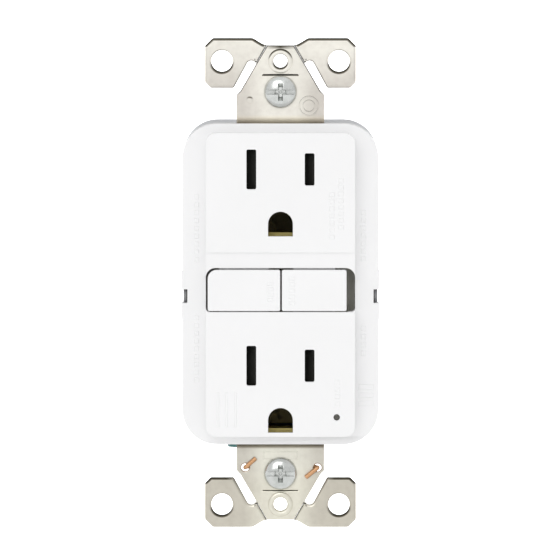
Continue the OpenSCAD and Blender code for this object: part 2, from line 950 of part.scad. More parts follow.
// Hollow button cap with retaining lips above and below and a boss for its spring.
module button_cap(x0, x1, radii, stem) {
    boss_r = 2.6;
    z0 = window_z0 + lower_gap;
    z1 = window_z1 - upper_gap;
    lip = 0.8;
    deep(-face_y, -face_y + cap_t)
        framed([x0, z0], [x1, z1], radii);
    deep(-face_y + cap_t - eps, cap_back)
        difference() {
            framed([x0, z0], [x1, z1], radii);
            translate([x0 + cap_t, z0 + cap_t])
                square([x1 - x0 - 2 * cap_t, z1 - z0 - 2 * cap_t]);
        }
    for (z = [[z0 - lip, z0 + eps], [z1 - eps, z1 + lip]])
        block([x0 + 2.5, cavity_y + 0.1, z[0]], [x1 - 2.5, cavity_y + 1.1, z[1]]);
    rod_y(stem[0], stem[1], boss_r, -face_y + cap_t - eps, spring_seat);
}

module test_button() {
    stem_r = 1.2;
    tip_r = 0.8;
    stem_y = 4.4;
    tip_y = 5.2;
    color(white) {
        button_cap(test_x0, test_x1, [0.5, 0.4, 0.4, 2], test_stem);
        raised_bars(test_bars, -face_y);
        rod_y(test_stem[0], test_stem[1], stem_r, spring_seat - eps, stem_y);
        rod_y(test_stem[0], test_stem[1], tip_r, stem_y - eps, tip_y);
    }
}

module reset_button() {
    color(white)
        difference() {
            union() {
                button_cap(reset_x0, reset_x1, [0.4, 0.4, 0.5, 0.4], reset_stem);
                raised_bars(reset_bars, -face_y);
            }
            rod_y(reset_stem[0], reset_stem[1], 1.01, -6, cap_back);
        }
}

// Steel pin pushed into the reset button, which reaches the latch.
module reset_pin() {
    tip_y = 23;
    color(steel) {
        rod_y(reset_stem[0], reset_stem[1], 1, -5.95, tip_y - 0.8);
        translate([reset_stem[0], tip_y, reset_stem[1]])
            rotate([90, 0, 0])
                cylinder(r1 = 0.5, r2 = 1, h = 0.8);
    }
}

// Button spring between the cap's boss and the contact frame.
module button_spring(stem) {
    color(steel)
        translate([stem[0], frame_y0 - 0.02, stem[1]])
            rotate([90, 0, 0])
                coil(1.9, 0.2, frame_y0 - spring_seat - 0.04, 5);
}

module test_spring() {
    button_spring(test_stem);
}

module reset_spring() {
    button_spring(reset_stem);
}

// Leaf pressed by the test button's stem.
module test_contact_leaf() {
    color(brass)
        block([-8.2, 5.3, -10], [-5.8, 5.7, 0.2]);
}

// ---- Shutters ----

// Tray that guides one shutter behind the face.
module shutter_carrier(z) {
    x = 13;
    half_h = 6;
    rim = 0.8;
    y = [cavity_y + 0.1, cap_back];
    floor_y = shutter_y[1] + 0.1;
    post_h = 0.9;
    color(dark_plastic)
        translate([0, 0, z]) {
            difference() {
                block([-x, y[0], -half_h], [x, y[1], half_h]);
                block([-x + rim, y[0] - 1, -half_h + rim], [x - rim, floor_y, half_h - rim]);
                both_sides()
                    block([blade_x - 1.5, y[0] - 1, -4.9], [blade_x + 1.5, y[1] + 1, 4.9]);
            }
            block([spring_x[1], shutter_y[0] + 0.1, -post_h], [spring_x[1] + 0.8, floor_y + eps, post_h]);
        }
}

module shutter_carrier_upper() {
    shutter_carrier(upper_z);
}

module shutter_carrier_lower() {
    shutter_carrier(lower_z);
}

// Sliding shutter: the blades push its two ramps and bring its two windows under the slots.
module shutter(z) {
    x = [-11.1, 9];
    windows = [-blade_x - shutter_travel, blade_x - shutter_travel];
    half_w = shutter_window / 2;
    ramp = 2.7;
    color(dark_plastic)
        translate([0, 0, z])
            difference() {
                block([x[0], shutter_y[0], -shutter_h / 2], [x[1], shutter_y[1], shutter_h / 2]);
                for (w = windows) {
                    block([w - half_w, -10, -4.4], [w + half_w, 0, 4.4]);
                    upward(-4.4, 4.4)
                        polygon([
                            [w + half_w - eps, shutter_y[0] - 1], [w + half_w - eps, shutter_y[1] - 0.4],
                            [w + half_w, shutter_y[1] - 0.4], [w + half_w + ramp, shutter_y[0]],
                            [w + half_w + ramp, shutter_y[0] - 1],
                        ]);
                }
                block([spring_x[0], shutter_y[0] - 1, -1.2], [spring_x[1] + 0.9, shutter_y[1] + 1, 1.2]);
            }
}

module shutter_upper() {
    shutter(upper_z);
}

module shutter_lower() {
    shutter(lower_z);
}

module shutter_spring(z) {
    color(steel)
        translate([spring_x[0] + 0.02, (shutter_y[0] + shutter_y[1]) / 2, z])
            rotate([0, 90, 0])
                coil(0.75, 0.12, spring_x[1] - spring_x[0] - 0.04, 7);
}

module shutter_spring_upper() {
    shutter_spring(upper_z);
}

module shutter_spring_lower() {
    shutter_spring(lower_z);
}

// ---- Circuit board and switch ----

module circuit_board() {
    half_h = 31.5;
    neck_x = 10.5;
    end_x = 13.2;
    end_z = 26.5;
    wide = [17, 12.8];
    cut_x = 12.2;
    cut_z = [-5.5, 4.5];
    right = [
        [end_x, half_h], [end_x, end_z], [neck_x, end_z], [neck_x, wide[1]], wide,
        [wide[0], -wide[1]], [neck_x, -wide[1]], [neck_x, -end_z], [end_x, -end_z], [end_x, -half_h],
    ];
    left = [for (i = [len(right) - 1:-1:0]) [-right[i][0], right[i][1]]];
    color([0.1, 0.35, 0.2])
        deep(board_y0, board_y1)
            difference() {
                polygon(concat(right, left));
                translate([-cut_x, cut_z[0]])
                    square([2 * cut_x, cut_z[1] - cut_z[0]]);
            }
}

// Spring arm with the moving contact, drawn on the right.
module contact_arm() {
    y = [17, 17.4];
    block([contact_x - 1.5, y[0], pivot_z], [contact_x + 1.5, y[1], 2]);
    rod_y(contact_x, contact_z, 1.3, y[0] - 1, y[0] + eps);
}

module hot_contact_arm() {
    color(bronze)
        contact_arm();
}

module neutral_contact_arm() {
    color(bronze)
        mirror([1, 0, 0])
            contact_arm();
}

// Slider that lifts the two contact arms onto the fixed contacts.
module contact_lifter() {
    body_x = 7.2;
    body_y = [18.2, 24.4];
    body_z = [-5, 2.4];
    wing_x = 11.2;
    color(dark_plastic)
        difference() {
            union() {
                block([-body_x, body_y[0], body_z[0]], [body_x, body_y[1], body_z[1]]);
                block([-wing_x, body_y[0], -2], [wing_x, body_y[0] + 1.3, 0.2]);
                both_sides()
                    block([wing_x - 2.4, 17.45, -1.3], [wing_x, body_y[0] + eps, -0.7]);
            }
            block(
                [latch_x[0] - 0.3, latch_y[0] - 0.3, body_z[0] - 1],
                [body_x + 1, latch_y[1] + 0.3, body_z[1] + 1]
            );
            rod_y(reset_stem[0], reset_stem[1], 1.15, body_y[0] - 1, body_y[1] + 1);
        }
}

// Plate that catches the reset pin and is pushed clear of it by the solenoid.
module latch_plate() {
    slot_r = 1.2;
    travel = 1.8;
    color(steel)
        difference() {
            block([latch_x[0], latch_y[0], -5.5], [latch_x[1], latch_y[1], 5.9]);
            block(
                [reset_stem[0] - slot_r, latch_y[0] - 1, reset_stem[1] - slot_r],
                [reset_stem[0] + slot_r, latch_y[1] + 1, reset_stem[1] + slot_r + travel]
            );
        }
}

// ---- Solenoid ----

module solenoid_bobbin() {
    bore_r = 2.2;
    tube_r = 2.9;
    flange_r = 5;
    flange_t = 1;
    color(dark_plastic)
        difference() {
            union() {
                rod_z(0, solenoid_y, tube_r, bobbin_z[0], bobbin_z[1]);
                rod_z(0, solenoid_y, flange_r, bobbin_z[0], bobbin_z[0] + flange_t);
                rod_z(0, solenoid_y, flange_r, bobbin_z[1] - flange_t, bobbin_z[1]);
            }
            rod_z(0, solenoid_y, bore_r, bobbin_z[0] - 1, bobbin_z[1] + 1);
        }
}

module solenoid_winding() {
    outer_r = 4.7;
    inner_r = 2.95;
    inset = 1.05;
    color([0.7, 0.35, 0.2])
        difference() {
            rod_z(0, solenoid_y, outer_r, bobbin_z[0] + inset, bobbin_z[1] - inset);
            rod_z(0, solenoid_y, inner_r, bobbin_z[0], bobbin_z[1]);
        }
}

// Steel yoke round the coil.
module solenoid_frame() {
    x = [-5.4, 6.6];
    y = [17.2, 26];
    z = [bobbin_z[0] - 0.2 - yoke_t, bobbin_z[1] + 0.2 + yoke_t];
    nose_hole_r = 1.4;
    core_hole_r = 2.3;
    color(steel)
        difference() {
            block([x[0], y[0], z[0]], [x[1], y[1], z[1]]);
            block([x[0] - 1, y[0] - 1, z[0] + yoke_t], [x[1] - yoke_t, y[1] + 1, z[1] - yoke_t]);
            rod_z(0, solenoid_y, nose_hole_r, z[0] - 1, z[0] + 2);
            rod_z(0, solenoid_y, core_hole_r, z[1] - 2, z[1] + 1);
        }
}

module solenoid_plunger() {
    core_r = 2.1;
    core_z = 10.2;
    nose_r = 1.2;
    nose_z = 6.2;
    cap_r = 3.4;
    cap_h = 0.8;
    color(steel) {
        rod_z(0, solenoid_y, core_r, core_z, plunger_cap_z + eps);
        rod_z(0, solenoid_y, nose_r, nose_z, core_z + eps);
        rod_z(0, solenoid_y, cap_r, plunger_cap_z, plunger_cap_z + cap_h);
    }
}

module plunger_spring() {
    seat = bobbin_z[1] + 0.2 + yoke_t;
    color(steel)
        translate([0, solenoid_y, seat + 0.02])
            coil(2.8, 0.2, plunger_cap_z - seat - 0.04, 4);
}

// ---- Current sensor ----

// Ring about the sensor's axis.
module ring_y(r_in, r_out, y0, y1) {
    deep(y0, y1)
        translate([0, sensor_z])
            difference() {
                circle(r_out);
                circle(r_in);
            }
}

module sensor_case() {
    shell = 0.7;
    inner_r = 2.4;
    outer_r = 8.6;
    color(dark_plastic) {
        ring_y(inner_r, outer_r, sensor_y[1] - shell, sensor_y[1]);
        ring_y(inner_r, inner_r + shell, sensor_y[0], sensor_y[1] - shell + eps);
        ring_y(outer_r - shell, outer_r, sensor_y[0], sensor_y[1] - shell + eps);
    }
}

// One of the sensor's two wound cores.
module toroid(y0, y1) {
    inner_r = 3.4;
    outer_r = 7.5;
    ring_y(inner_r, outer_r, y0, y1);
}

module sense_toroid() {
    color(bronze)
        toroid(18.2, 21.4);
}

module neutral_toroid() {
    color([0.3, 0.32, 0.36])
        toroid(21.8, 25.2);
}

// ---- Board parts ----

module surge_varistor() {
    place = [-12.3, 8.5];
    disc_r = 3.4;
    color([0.15, 0.3, 0.6])
        rod_y(place[0], place[1], disc_r, board_y1 + 0.4, board_y1 + 3.8);
}

module controller_chip() {
    color(dark_plastic)
        block([9.5, board_y1 + 0.1, 6], [14.5, board_y1 + 1.7, 11]);
}

// Capacitor, resistors, diode and transistor on the back of the board.
module board_components() {
    lift = board_y1 + 0.05;
    color([0.2, 0.2, 0.25]) {
        rod_y(-9.2, 28.9, 2.3, lift, lift + 6);
        block([6, lift, -31], [9.5, lift + 2, -29]);
    }
    color([0.8, 0.7, 0.5])
        for (place = [[6, 28], [6, 30.4], [-11, -30.4]])
            rod_x(lift + 0.9, place[1], 0.9, place[0], place[0] + 5);
}

module indicator_led() {
    color([0.9, 0.95, 0.85])
        block(
            [indicator[0] - 0.9, board_y0 - 1.3, indicator[1] - 0.9],
            [indicator[0] + 0.9, board_y0 - 0.05, indicator[1] + 0.9]
        );
}

module indicator_light_pipe() {
    color([0.6, 0.6, 0.5, 0.7]) {
        rod_y(indicator[0], indicator[1], 0.65, -face_y + 0.1, cavity_y + 0.2);
        rod_y(indicator[0], indicator[1], 0.9, cavity_y + 0.1, board_y0 - 1.5);
    }
}

cover();
rear_housing();
contact_frame();
housing_screws();
mounting_strap();
self_grounding_clip();
upper_mounting_screw();
lower_mounting_screw();
ground_contact_upper();
ground_contact_lower();
ground_contact_rivets();
ground_terminal();
ground_screw();
hot_contact_strip();
neutral_contact_strip();
line_hot_terminal();
line_neutral_terminal();
load_hot_screw();
load_neutral_screw();
line_hot_screw();
line_neutral_screw();
load_hot_clamp();
load_neutral_clamp();
line_hot_clamp();
line_neutral_clamp();
test_button();
reset_button();
reset_pin();
test_spring();
reset_spring();
test_contact_leaf();
shutter_carrier_upper();
shutter_carrier_lower();
shutter_upper();
shutter_lower();
shutter_spring_upper();
shutter_spring_lower();
circuit_board();
hot_contact_arm();
neutral_contact_arm();
contact_lifter();
latch_plate();
solenoid_bobbin();
solenoid_winding();
solenoid_frame();
solenoid_plunger();
plunger_spring();
sensor_case();
sense_toroid();
neutral_toroid();
surge_varistor();
controller_chip();
board_components();
indicator_led();
indicator_light_pipe();
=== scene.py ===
"""Looks of a duplex ground-fault receptacle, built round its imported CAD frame."""

import json
import math

import bmesh
import bpy
from mathutils import Matrix, Vector


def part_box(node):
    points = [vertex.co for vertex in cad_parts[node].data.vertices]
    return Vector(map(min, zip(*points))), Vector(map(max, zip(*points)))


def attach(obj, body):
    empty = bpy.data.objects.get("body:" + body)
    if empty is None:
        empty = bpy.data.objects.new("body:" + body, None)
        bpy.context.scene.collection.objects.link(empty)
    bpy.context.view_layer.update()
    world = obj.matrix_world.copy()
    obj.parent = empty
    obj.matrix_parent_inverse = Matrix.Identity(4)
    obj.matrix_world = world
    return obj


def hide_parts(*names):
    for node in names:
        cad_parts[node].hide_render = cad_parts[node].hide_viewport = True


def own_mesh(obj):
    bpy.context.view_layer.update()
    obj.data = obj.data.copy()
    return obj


MM = 0.001
STRAP_END = 53.4
DEVICE = "device"

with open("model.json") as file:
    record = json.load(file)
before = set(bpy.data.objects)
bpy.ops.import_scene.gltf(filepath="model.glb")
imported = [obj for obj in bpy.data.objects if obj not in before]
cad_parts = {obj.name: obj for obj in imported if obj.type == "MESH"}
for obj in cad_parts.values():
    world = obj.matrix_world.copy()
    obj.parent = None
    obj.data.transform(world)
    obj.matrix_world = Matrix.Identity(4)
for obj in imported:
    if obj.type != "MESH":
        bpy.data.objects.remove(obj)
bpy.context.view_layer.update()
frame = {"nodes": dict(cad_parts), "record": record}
nodes = frame["nodes"]
body_of_node = {
    node: body
    for body, members in frame["record"]["behaviour"]["bodies"].items()
    for node in members
}
slot_of_node = {s["node"]: s["material_slot"] for s in frame["record"]["subparts"]}


# ---- Materials ----


def new_material(name, colour, roughness, metallic=0.0):
    """A Principled material with object-space coordinates ready for its grain."""
    material = bpy.data.materials.new(name)
    material.use_nodes = True
    tree = material.node_tree
    shader = tree.nodes["Principled BSDF"]
    shader.inputs["Base Color"].default_value = (*colour, 1)
    shader.inputs["Roughness"].default_value = roughness
    shader.inputs["Metallic"].default_value = metallic
    place = tree.nodes.new("ShaderNodeTexCoord").outputs["Object"]
    return material, tree, shader, place


def noise(tree, place, scale, detail=3.0, stretch=(1, 1, 1)):
    """Noise of about scale features per metre, stretched along an axis where asked."""
    mapping = tree.nodes.new("ShaderNodeMapping")
    mapping.inputs["Scale"].default_value = stretch
    texture = tree.nodes.new("ShaderNodeTexNoise")
    texture.inputs["Scale"].default_value = scale
    texture.inputs["Detail"].default_value = detail
    tree.links.new(place, mapping.inputs["Vector"])
    tree.links.new(mapping.outputs["Vector"], texture.inputs["Vector"])
    return texture.outputs["Fac"]


def ramp(tree, source, stops):
    """Colour ramp over (position, colour) stops."""
    node = tree.nodes.new("ShaderNodeValToRGB")
    elements = node.color_ramp.elements
    while len(elements) < len(stops):
        elements.new(0.5)
    for element, (position, colour) in zip(elements, stops):
        element.position = position
        element.color = (*colour, 1)
    tree.links.new(source, node.inputs["Fac"])
    return node.outputs["Color"]


def grey_range(tree, source, low, high):
    """Maps a 0.3 to 0.7 noise onto low to high."""
    node = tree.nodes.new("ShaderNodeMapRange")
    node.inputs["From Min"].default_value = 0.3
    node.inputs["From Max"].default_value = 0.7
    node.inputs["To Min"].default_value = low
    node.inputs["To Max"].default_value = high
    tree.links.new(source, node.inputs["Value"])
    return node.outputs["Result"]


def bump(tree, shader, height, distance, strength=1.0):
    node = tree.nodes.new("ShaderNodeBump")
    node.inputs["Strength"].default_value = strength
    node.inputs["Distance"].default_value = distance
    tree.links.new(height, node.inputs["Height"])
    tree.links.new(node.outputs["Normal"], shader.inputs["Normal"])


def painted_recess_shade(tree, shader, reach, depth):
    """Paints shade into recesses narrower than about reach (m) and next to close parts, darker towards depth,
    a share of the plain tone.
    """
    tone = shader.inputs["Base Color"].links[0].from_socket
    cavity = tree.nodes.new("ShaderNodeAmbientOcclusion")
    cavity.samples = 12
    cavity.inputs["Distance"].default_value = reach
    shade = ramp(tree, cavity.outputs["AO"], [(0.3, grey(depth)), (0.8, grey(1.0))])
    tree.links.new(mixed(tree, "MULTIPLY", 1.0, tone, shade), shader.inputs["Base Color"])


def grey(level):
    return (level, level, level)


def moulded_plastic(name, colour, roughness, grain=0.02 * MM, recess=None):
    """Moulded plastic: fine spark-eroded grain, slow changes of gloss and a trace of tone.

    The last argument is the (reach, depth) of the painted shade in recesses, or None.
    """
    material, tree, shader, place = new_material(name, colour, roughness)
    shader.inputs["Specular IOR Level"].default_value = 0.4
    fine = noise(tree, place, 5200, 2)
    slow = noise(tree, place, 60, 3)
    tree.links.new(grey_range(tree, slow, roughness - 0.05, roughness + 0.06), shader.inputs["Roughness"])
    dim = tuple(c * 0.985 for c in colour)
    tree.links.new(ramp(tree, slow, [(0.35, dim), (0.65, colour)]), shader.inputs["Base Color"])
    bump(tree, shader, fine, grain, 0.25)
    # Painted shade in recesses, where asked.
    if recess:
        painted_recess_shade(tree, shader, *recess)
    return material


def sheet_metal(name, colour, shade, roughness, streak=(1, 1, 1), grain=0.02 * MM, recess=None):
    """Plated or rolled metal: a mottled tone, uneven gloss and fine marks along one direction."""
    material, tree, shader, place = new_material(name, colour, roughness, 1.0)
    mottle = noise(tree, place, 700, 5)
    marks = noise(tree, place, 2600, 4, streak)
    patches = noise(tree, place, 110, 3)
    tone = mixed(tree, "MIX", 0.4, ramp(tree, mottle, [(0.3, shade), (0.6, colour)]),
                 ramp(tree, patches, [(0.35, shade), (0.65, colour)]))
    tree.links.new(tone, shader.inputs["Base Color"])
    tree.links.new(grey_range(tree, patches, roughness - 0.06, roughness + 0.08), shader.inputs["Roughness"])
    bump(tree, shader, marks, grain, 0.5)
    # Painted shade in recesses, where asked.
    if recess:
        painted_recess_shade(tree, shader, *recess)
    return material


def mixed(tree, blend, factor, a, b):
    """Blend of two colours."""
    node = tree.nodes.new("ShaderNodeMix")
    node.data_type = "RGBA"
    node.blend_type = blend
    if isinstance(factor, float):
        node.inputs["Factor"].default_value = factor
    else:
        tree.links.new(factor, node.inputs["Factor"])
    tree.links.new(a, node.inputs["A"])
    tree.links.new(b, node.inputs["B"])
    return node.outputs["Result"]


def strap_steel(name, colour, shade):
    """Plated strip with painted dark reflections on the edges that face up and on the upper tab's top edge, a
    darker lower end and darker ears, and painted warm reflection on the upper bend and painted shade on the
    lower bend.

    Heights and distances from the middle are in mm.
    """
    material = sheet_metal(name, colour, shade, 0.34, (1, 1, 0.25))
    tree = material.node_tree
    shader = tree.nodes["Principled BSDF"]
    tone = shader.inputs["Base Color"].links[0].from_socket
    place = tree.nodes["Texture Coordinate"].outputs["Object"]
    along = tree.nodes.new("ShaderNodeMapRange")
    along.inputs["From Min"].default_value = -STRAP_END * MM
    along.inputs["From Max"].default_value = STRAP_END * MM
    tree.links.new(component(tree, place, "Z"), along.inputs["Value"])
    aside = tree.nodes.new("ShaderNodeMath")
    aside.operation = "ABSOLUTE"
    tree.links.new(component(tree, place, "X"), aside.inputs[0])

    def at_height(*stops):
        return ramp(tree, along.outputs["Result"], [((z / STRAP_END + 1) / 2, c) for z, c in stops])

    def off_middle(*stops):
        return ramp(tree, aside.outputs[0], [(x * MM, c) for x, c in stops])

    off, on = grey(0.0), grey(1.0)
    # Painted shade on the lower bend and painted warm reflection on the upper bend, over a tone that is
    # darker towards the lower end.
    bend_shade_and_height_tint = mixed(tree, "MULTIPLY", 1.0, tone, at_height(
        (-STRAP_END, (0.88, 0.88, 0.83)), (-44, (0.88, 0.88, 0.83)),
        (-39, (0.92, 0.93, 0.9)), (-36.3, (0.92, 0.93, 0.9)),
        (-36.1, (0.5, 0.47, 0.4)), (-34.5, (0.36, 0.33, 0.28)), (34.5, (1, 0.93, 0.8)),
        (36.2, (1, 0.97, 0.9)), (36.4, (1, 1, 1)), (51, (1, 1, 1))))
    # The bends are not metallic, so their painted tints show as plain colour.
    tree.links.new(at_height((-36.3, on), (-36.1, off), (36.1, off), (36.3, on)), shader.inputs["Metallic"])
    # Ears darker towards their lower edge; the lower ears darker throughout.
    on_ear = off_middle((6, off), (8, on))
    ears = mixed(tree, "MULTIPLY", on_ear, bend_shade_and_height_tint, at_height((42.5, (0.78, 0.76, 0.76)), (51, (1, 1, 1))))
    # Painted dark reflection along the top edge of the upper tab's middle.
    tip = at_height((51.0, (1, 1, 1)), (51.3, (0.13, 0.12, 0.1)))
    ends = mixed(tree, "MULTIPLY", off_middle((2.8, on), (3.2, off)), ears, tip)
    # Painted dark reflection where surfaces face up, by the normal, over the upper end and the lower ears'
    # outer edges.
    tilt = component(tree, tree.nodes["Texture Coordinate"].outputs["Normal"], "Z")
    lower = mixed(tree, "MULTIPLY", 1.0, at_height((-36.5, on), (-36, off)), off_middle((9, off), (9.6, on)))
    dark_edge_zone = mixed(tree, "ADD", 1.0, at_height((36.5, off), (37, on)), lower)
    painted_edge_reflection = mixed(tree, "MULTIPLY", dark_edge_zone, ends, ramp(tree, tilt, [
        (0.08, (1, 1, 1)), (0.3, (0.14, 0.13, 0.11)), (1.0, (0.04, 0.04, 0.035))]))
    tree.links.new(painted_edge_reflection, shader.inputs["Base Color"])
    # Painted shade in recesses and round close parts such as the screw heads.
    painted_recess_shade(tree, shader, 0.4 * MM, 0.25)
    return material


def component(tree, vector, axis):
    node = tree.nodes.new("ShaderNodeSeparateXYZ")
    tree.links.new(vector, node.inputs["Vector"])
    return node.outputs[axis]


def coated_board(name, colour):
    """Glass-epoxy laminate: its weave under resist, with paler copper areas."""
    material, tree, shader, place = new_material(name, colour, 0.5)
    shader.inputs["Specular IOR Level"].default_value = 0.2
    weave = tree.nodes.new("ShaderNodeTexChecker")
    weave.inputs["Scale"].default_value = 1400
    tree.links.new(place, weave.inputs["Vector"])
    areas = noise(tree, place, 260, 1)
    pale = tuple(min(1, c * 1.9) for c in colour)
    tree.links.new(ramp(tree, areas, [(0.48, colour), (0.52, pale)]), shader.inputs["Base Color"])
    bump(tree, shader, weave.outputs["Fac"], 0.01 * MM, 0.4)
    return material


def wound_wire(name, colour, shade):
    """Enamelled winding wire with a mottled tone."""
    material, tree, shader, place = new_material(name, colour, 0.3, 0.9)
    fine = noise(tree, place, 1800, 3)
    tree.links.new(ramp(tree, fine, [(0.3, shade), (0.6, colour)]), shader.inputs["Base Color"])
    bump(tree, shader, fine, 0.02 * MM, 0.4)
    return material


def clear_acrylic(name, colour):
    """Slightly cloudy light-pipe acrylic."""
    material, tree, shader, place = new_material(name, colour, 0.2)
    cloud = noise(tree, place, 900, 2)
    tree.links.new(grey_range(tree, cloud, 0.12, 0.3), shader.inputs["Roughness"])
    shader.inputs["Coat Weight"].default_value = 0.3
    return material


white_plastic = moulded_plastic("white_plastic", (0.895, 0.895, 0.898), 0.34)
materials = {
    "white_plastic": white_plastic,
    # Painted shade in the housing's recesses.
    "grey_plastic": moulded_plastic("grey_plastic", (0.7, 0.71, 0.73), 0.45, 0.04 * MM, (4 * MM, 0.1)),
    "olive_grey_plastic": moulded_plastic("olive_grey_plastic", (0.78, 0.78, 0.69), 0.5, 0.04 * MM),
    "dark_plastic": moulded_plastic("dark_plastic", (0.025, 0.025, 0.022), 0.5),
    # Painted shade in recesses and round close parts.
    "bright_steel": sheet_metal(
        "bright_steel", (0.7, 0.715, 0.7), (0.52, 0.54, 0.52), 0.2, (1, 1, 1), 0.008 * MM, (0.5 * MM, 0.12)),
    "zinc_plated_steel": strap_steel("zinc_plated_steel", (0.9, 0.875, 0.8), (0.8, 0.77, 0.7)),
    "brass": sheet_metal("brass", (0.85, 0.73, 0.3), (0.7, 0.58, 0.2), 0.35, (1, 1, 0.2)),
    "bronze": sheet_metal("bronze", (0.66, 0.38, 0.21), (0.5, 0.27, 0.13), 0.28, (1, 1, 0.3)),
    "green_screw": sheet_metal("green_screw", (0.1, 0.22, 0.21), (0.05, 0.13, 0.12), 0.28),
    "circuit_laminate": coated_board("circuit_laminate", (0.3, 0.26, 0.15)),
    "copper": wound_wire("copper", (0.62, 0.27, 0.12), (0.36, 0.13, 0.05)),
    "ferrite": moulded_plastic("ferrite", (0.07, 0.075, 0.085), 0.6, 0.06 * MM),
    "component_blue": moulded_plastic("component_blue", (0.03, 0.1, 0.32), 0.3),
    "component_tan": moulded_plastic("component_tan", (0.36, 0.27, 0.16), 0.4),
    "clear_plastic": clear_acrylic("clear_plastic", (0.07, 0.068, 0.055)),
}


# ---- Mesh helpers ----


def finish_piece(mesh, name, body, slot, angle=32, replaced=()):
    """Turns a mesh into a smooth-shaded piece on a body, in a material slot."""
    piece = bpy.data.objects.new(name, mesh)
    bpy.context.scene.collection.objects.link(piece)
    mesh.materials.clear()
    mesh.materials.append(materials[slot])
    mesh.shade_smooth()
    mesh.set_sharp_from_angle(angle=math.radians(angle))
    normals = piece.modifiers.new("even_normals", "WEIGHTED_NORMAL")
    normals.keep_sharp = True
    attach(piece, body)
    if replaced:
        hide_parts(*replaced)
    return piece


def cad_copy(node):
    """A welded copy of a CAD node's mesh, with flat faces as single polygons."""
    bm = bmesh.new()
    bm.from_mesh(nodes[node].data)
    bmesh.ops.remove_doubles(bm, verts=bm.verts, dist=1e-6)
    bmesh.ops.dissolve_limit(bm, angle_limit=math.radians(0.5), verts=bm.verts, edges=bm.edges)
    return bm


def round_edges(bm, width, segments, wanted=lambda p: True, angle=30):
    """Rounds the sharp edges whose middle is wanted."""
    edges = [
        e
        for e in bm.edges
        if len(e.link_faces) == 2
        and e.calc_face_angle(0) > math.radians(angle)
        and wanted((e.verts[0].co + e.verts[1].co) / 2 / MM)
    ]
    bmesh.ops.bevel(
        bm, geom=edges, offset=width * MM, offset_type="OFFSET", segments=segments,
        profile=0.5, affect="EDGES", clamp_overlap=True,
    )


def mesh_of(bm, name):
    mesh = bpy.data.meshes.new(name)
    bm.to_mesh(mesh)
    bm.free()
    return mesh


def plate_mesh(name, outlines, y0, y1, edge):
    """Round-edged sheet between depths y0 and y1 (mm) from closed XZ outlines, inner ones being holes."""
    curve = bpy.data.curves.new(name, "CURVE")
    curve.dimensions = "2D"
    curve.fill_mode = "BOTH"
    curve.extrude = (y1 - y0) / 2 * MM - edge * MM
    curve.bevel_depth = edge * MM
    curve.bevel_resolution = 3
    curve.offset = -edge * MM
    for outline in outlines:
        spline = curve.splines.new("POLY")
        spline.points.add(len(outline) - 1)
        for point, (x, z) in zip(spline.points, outline):
            point.co = (x * MM, z * MM, 0, 1)
        spline.use_cyclic_u = True
    holder = bpy.data.objects.new(name, curve)
    mesh = bpy.data.meshes.new_from_object(holder)
    bpy.data.objects.remove(holder)
    stand = Matrix(((1, 0, 0, 0), (0, 0, -1, (y0 + y1) / 2 * MM), (0, 1, 0, 0), (0, 0, 0, 1)))
    mesh.transform(stand)
    return mesh


def arc(cx, cz, r, a0, a1, steps=8):
    """Points of an arc in XZ, from a0 to a1 degrees."""
    return [
        (cx + r * math.cos(math.radians(a0 + (a1 - a0) * i / steps)),
         cz + r * math.sin(math.radians(a0 + (a1 - a0) * i / steps)))
        for i in range(steps + 1)
    ]


def circle(cx, cz, r, steps=40):
    return arc(cx, cz, r, 0, 360, steps)[:-1]


def mirrored(points):
    return [(-x, z) for x, z in reversed(points)]


def lathe_mesh(name, profile, steps=48):
    """Turned shape about +Z from (radius, height) points in mm."""
    bm = bmesh.new()
    turns = [2 * math.pi * i / steps for i in range(steps)]
    rings = [
        [bm.verts.new(Vector((r * math.cos(turn), r * math.sin(turn), h)) * MM) for turn in turns]
        for r, h in profile
    ]
    for a, b in zip(rings, rings[1:]):
        for i in range(steps):
            j = (i + 1) % steps
            bm.faces.new((a[i], a[j], b[j], b[i]))
    bmesh.ops.remove_doubles(bm, verts=bm.verts, dist=1e-7)
    open_ends = [e for e in bm.edges if e.is_boundary]
    if open_ends:
        bmesh.ops.holes_fill(bm, edges=open_ends)
    bmesh.ops.recalc_face_normals(bm, faces=bm.faces)
    return mesh_of(bm, name)


def tube_mesh(name, path, radius, sides=12):
    """Round wire through points (mm), capped at both ends."""
    curve = bpy.data.curves.new(name, "CURVE")
    curve.dimensions = "3D"
    curve.bevel_depth = radius * MM
    curve.bevel_resolution = sides // 4
    curve.use_fill_caps = True
    spline = curve.splines.new("POLY")
    spline.points.add(len(path) - 1)
    for point, p in zip(spline.points, path):
        point.co = (*(c * MM for c in p), 1)
    holder = bpy.data.objects.new(name, curve)
    mesh = bpy.data.meshes.new_from_object(holder)
    bpy.data.objects.remove(holder)
    return mesh


def filleted(points, radius, steps=6):
    """A path with each inner corner replaced by a curve."""
    points = [Vector(p) for p in points]
    path = [points[0]]
    for before, corner, after in zip(points, points[1:], points[2:]):
        a = corner + (before - corner).normalized() * radius
        b = corner + (after - corner).normalized() * radius
        for i in range(steps + 1):
            t = i / steps
            path.append(a * (1 - t) ** 2 + corner * 2 * t * (1 - t) + b * t**2)
    path.append(points[-1])
    return path


def joined(name, parts):
    """One mesh from several (mesh, matrix) parts."""
    bm = bmesh.new()
    for mesh, matrix in parts:
        moved = mesh.copy()
        moved.transform(matrix)
        bm.from_mesh(moved)
    return mesh_of(bm, name)


STAY = Matrix.Identity(4)
FLIP_Z = Matrix.Scale(-1, 4, (0, 0, 1))
FLIP_X = Matrix.Scale(-1, 4, (1, 0, 0))


def facing(direction, at):
    """Places something drawn along +Z so that it looks along direction, at a point in mm."""
    turn = Vector(direction).to_track_quat("Z", "Y").to_matrix().to_4x4()
    return Matrix.Translation(Vector(at) * MM) @ turn


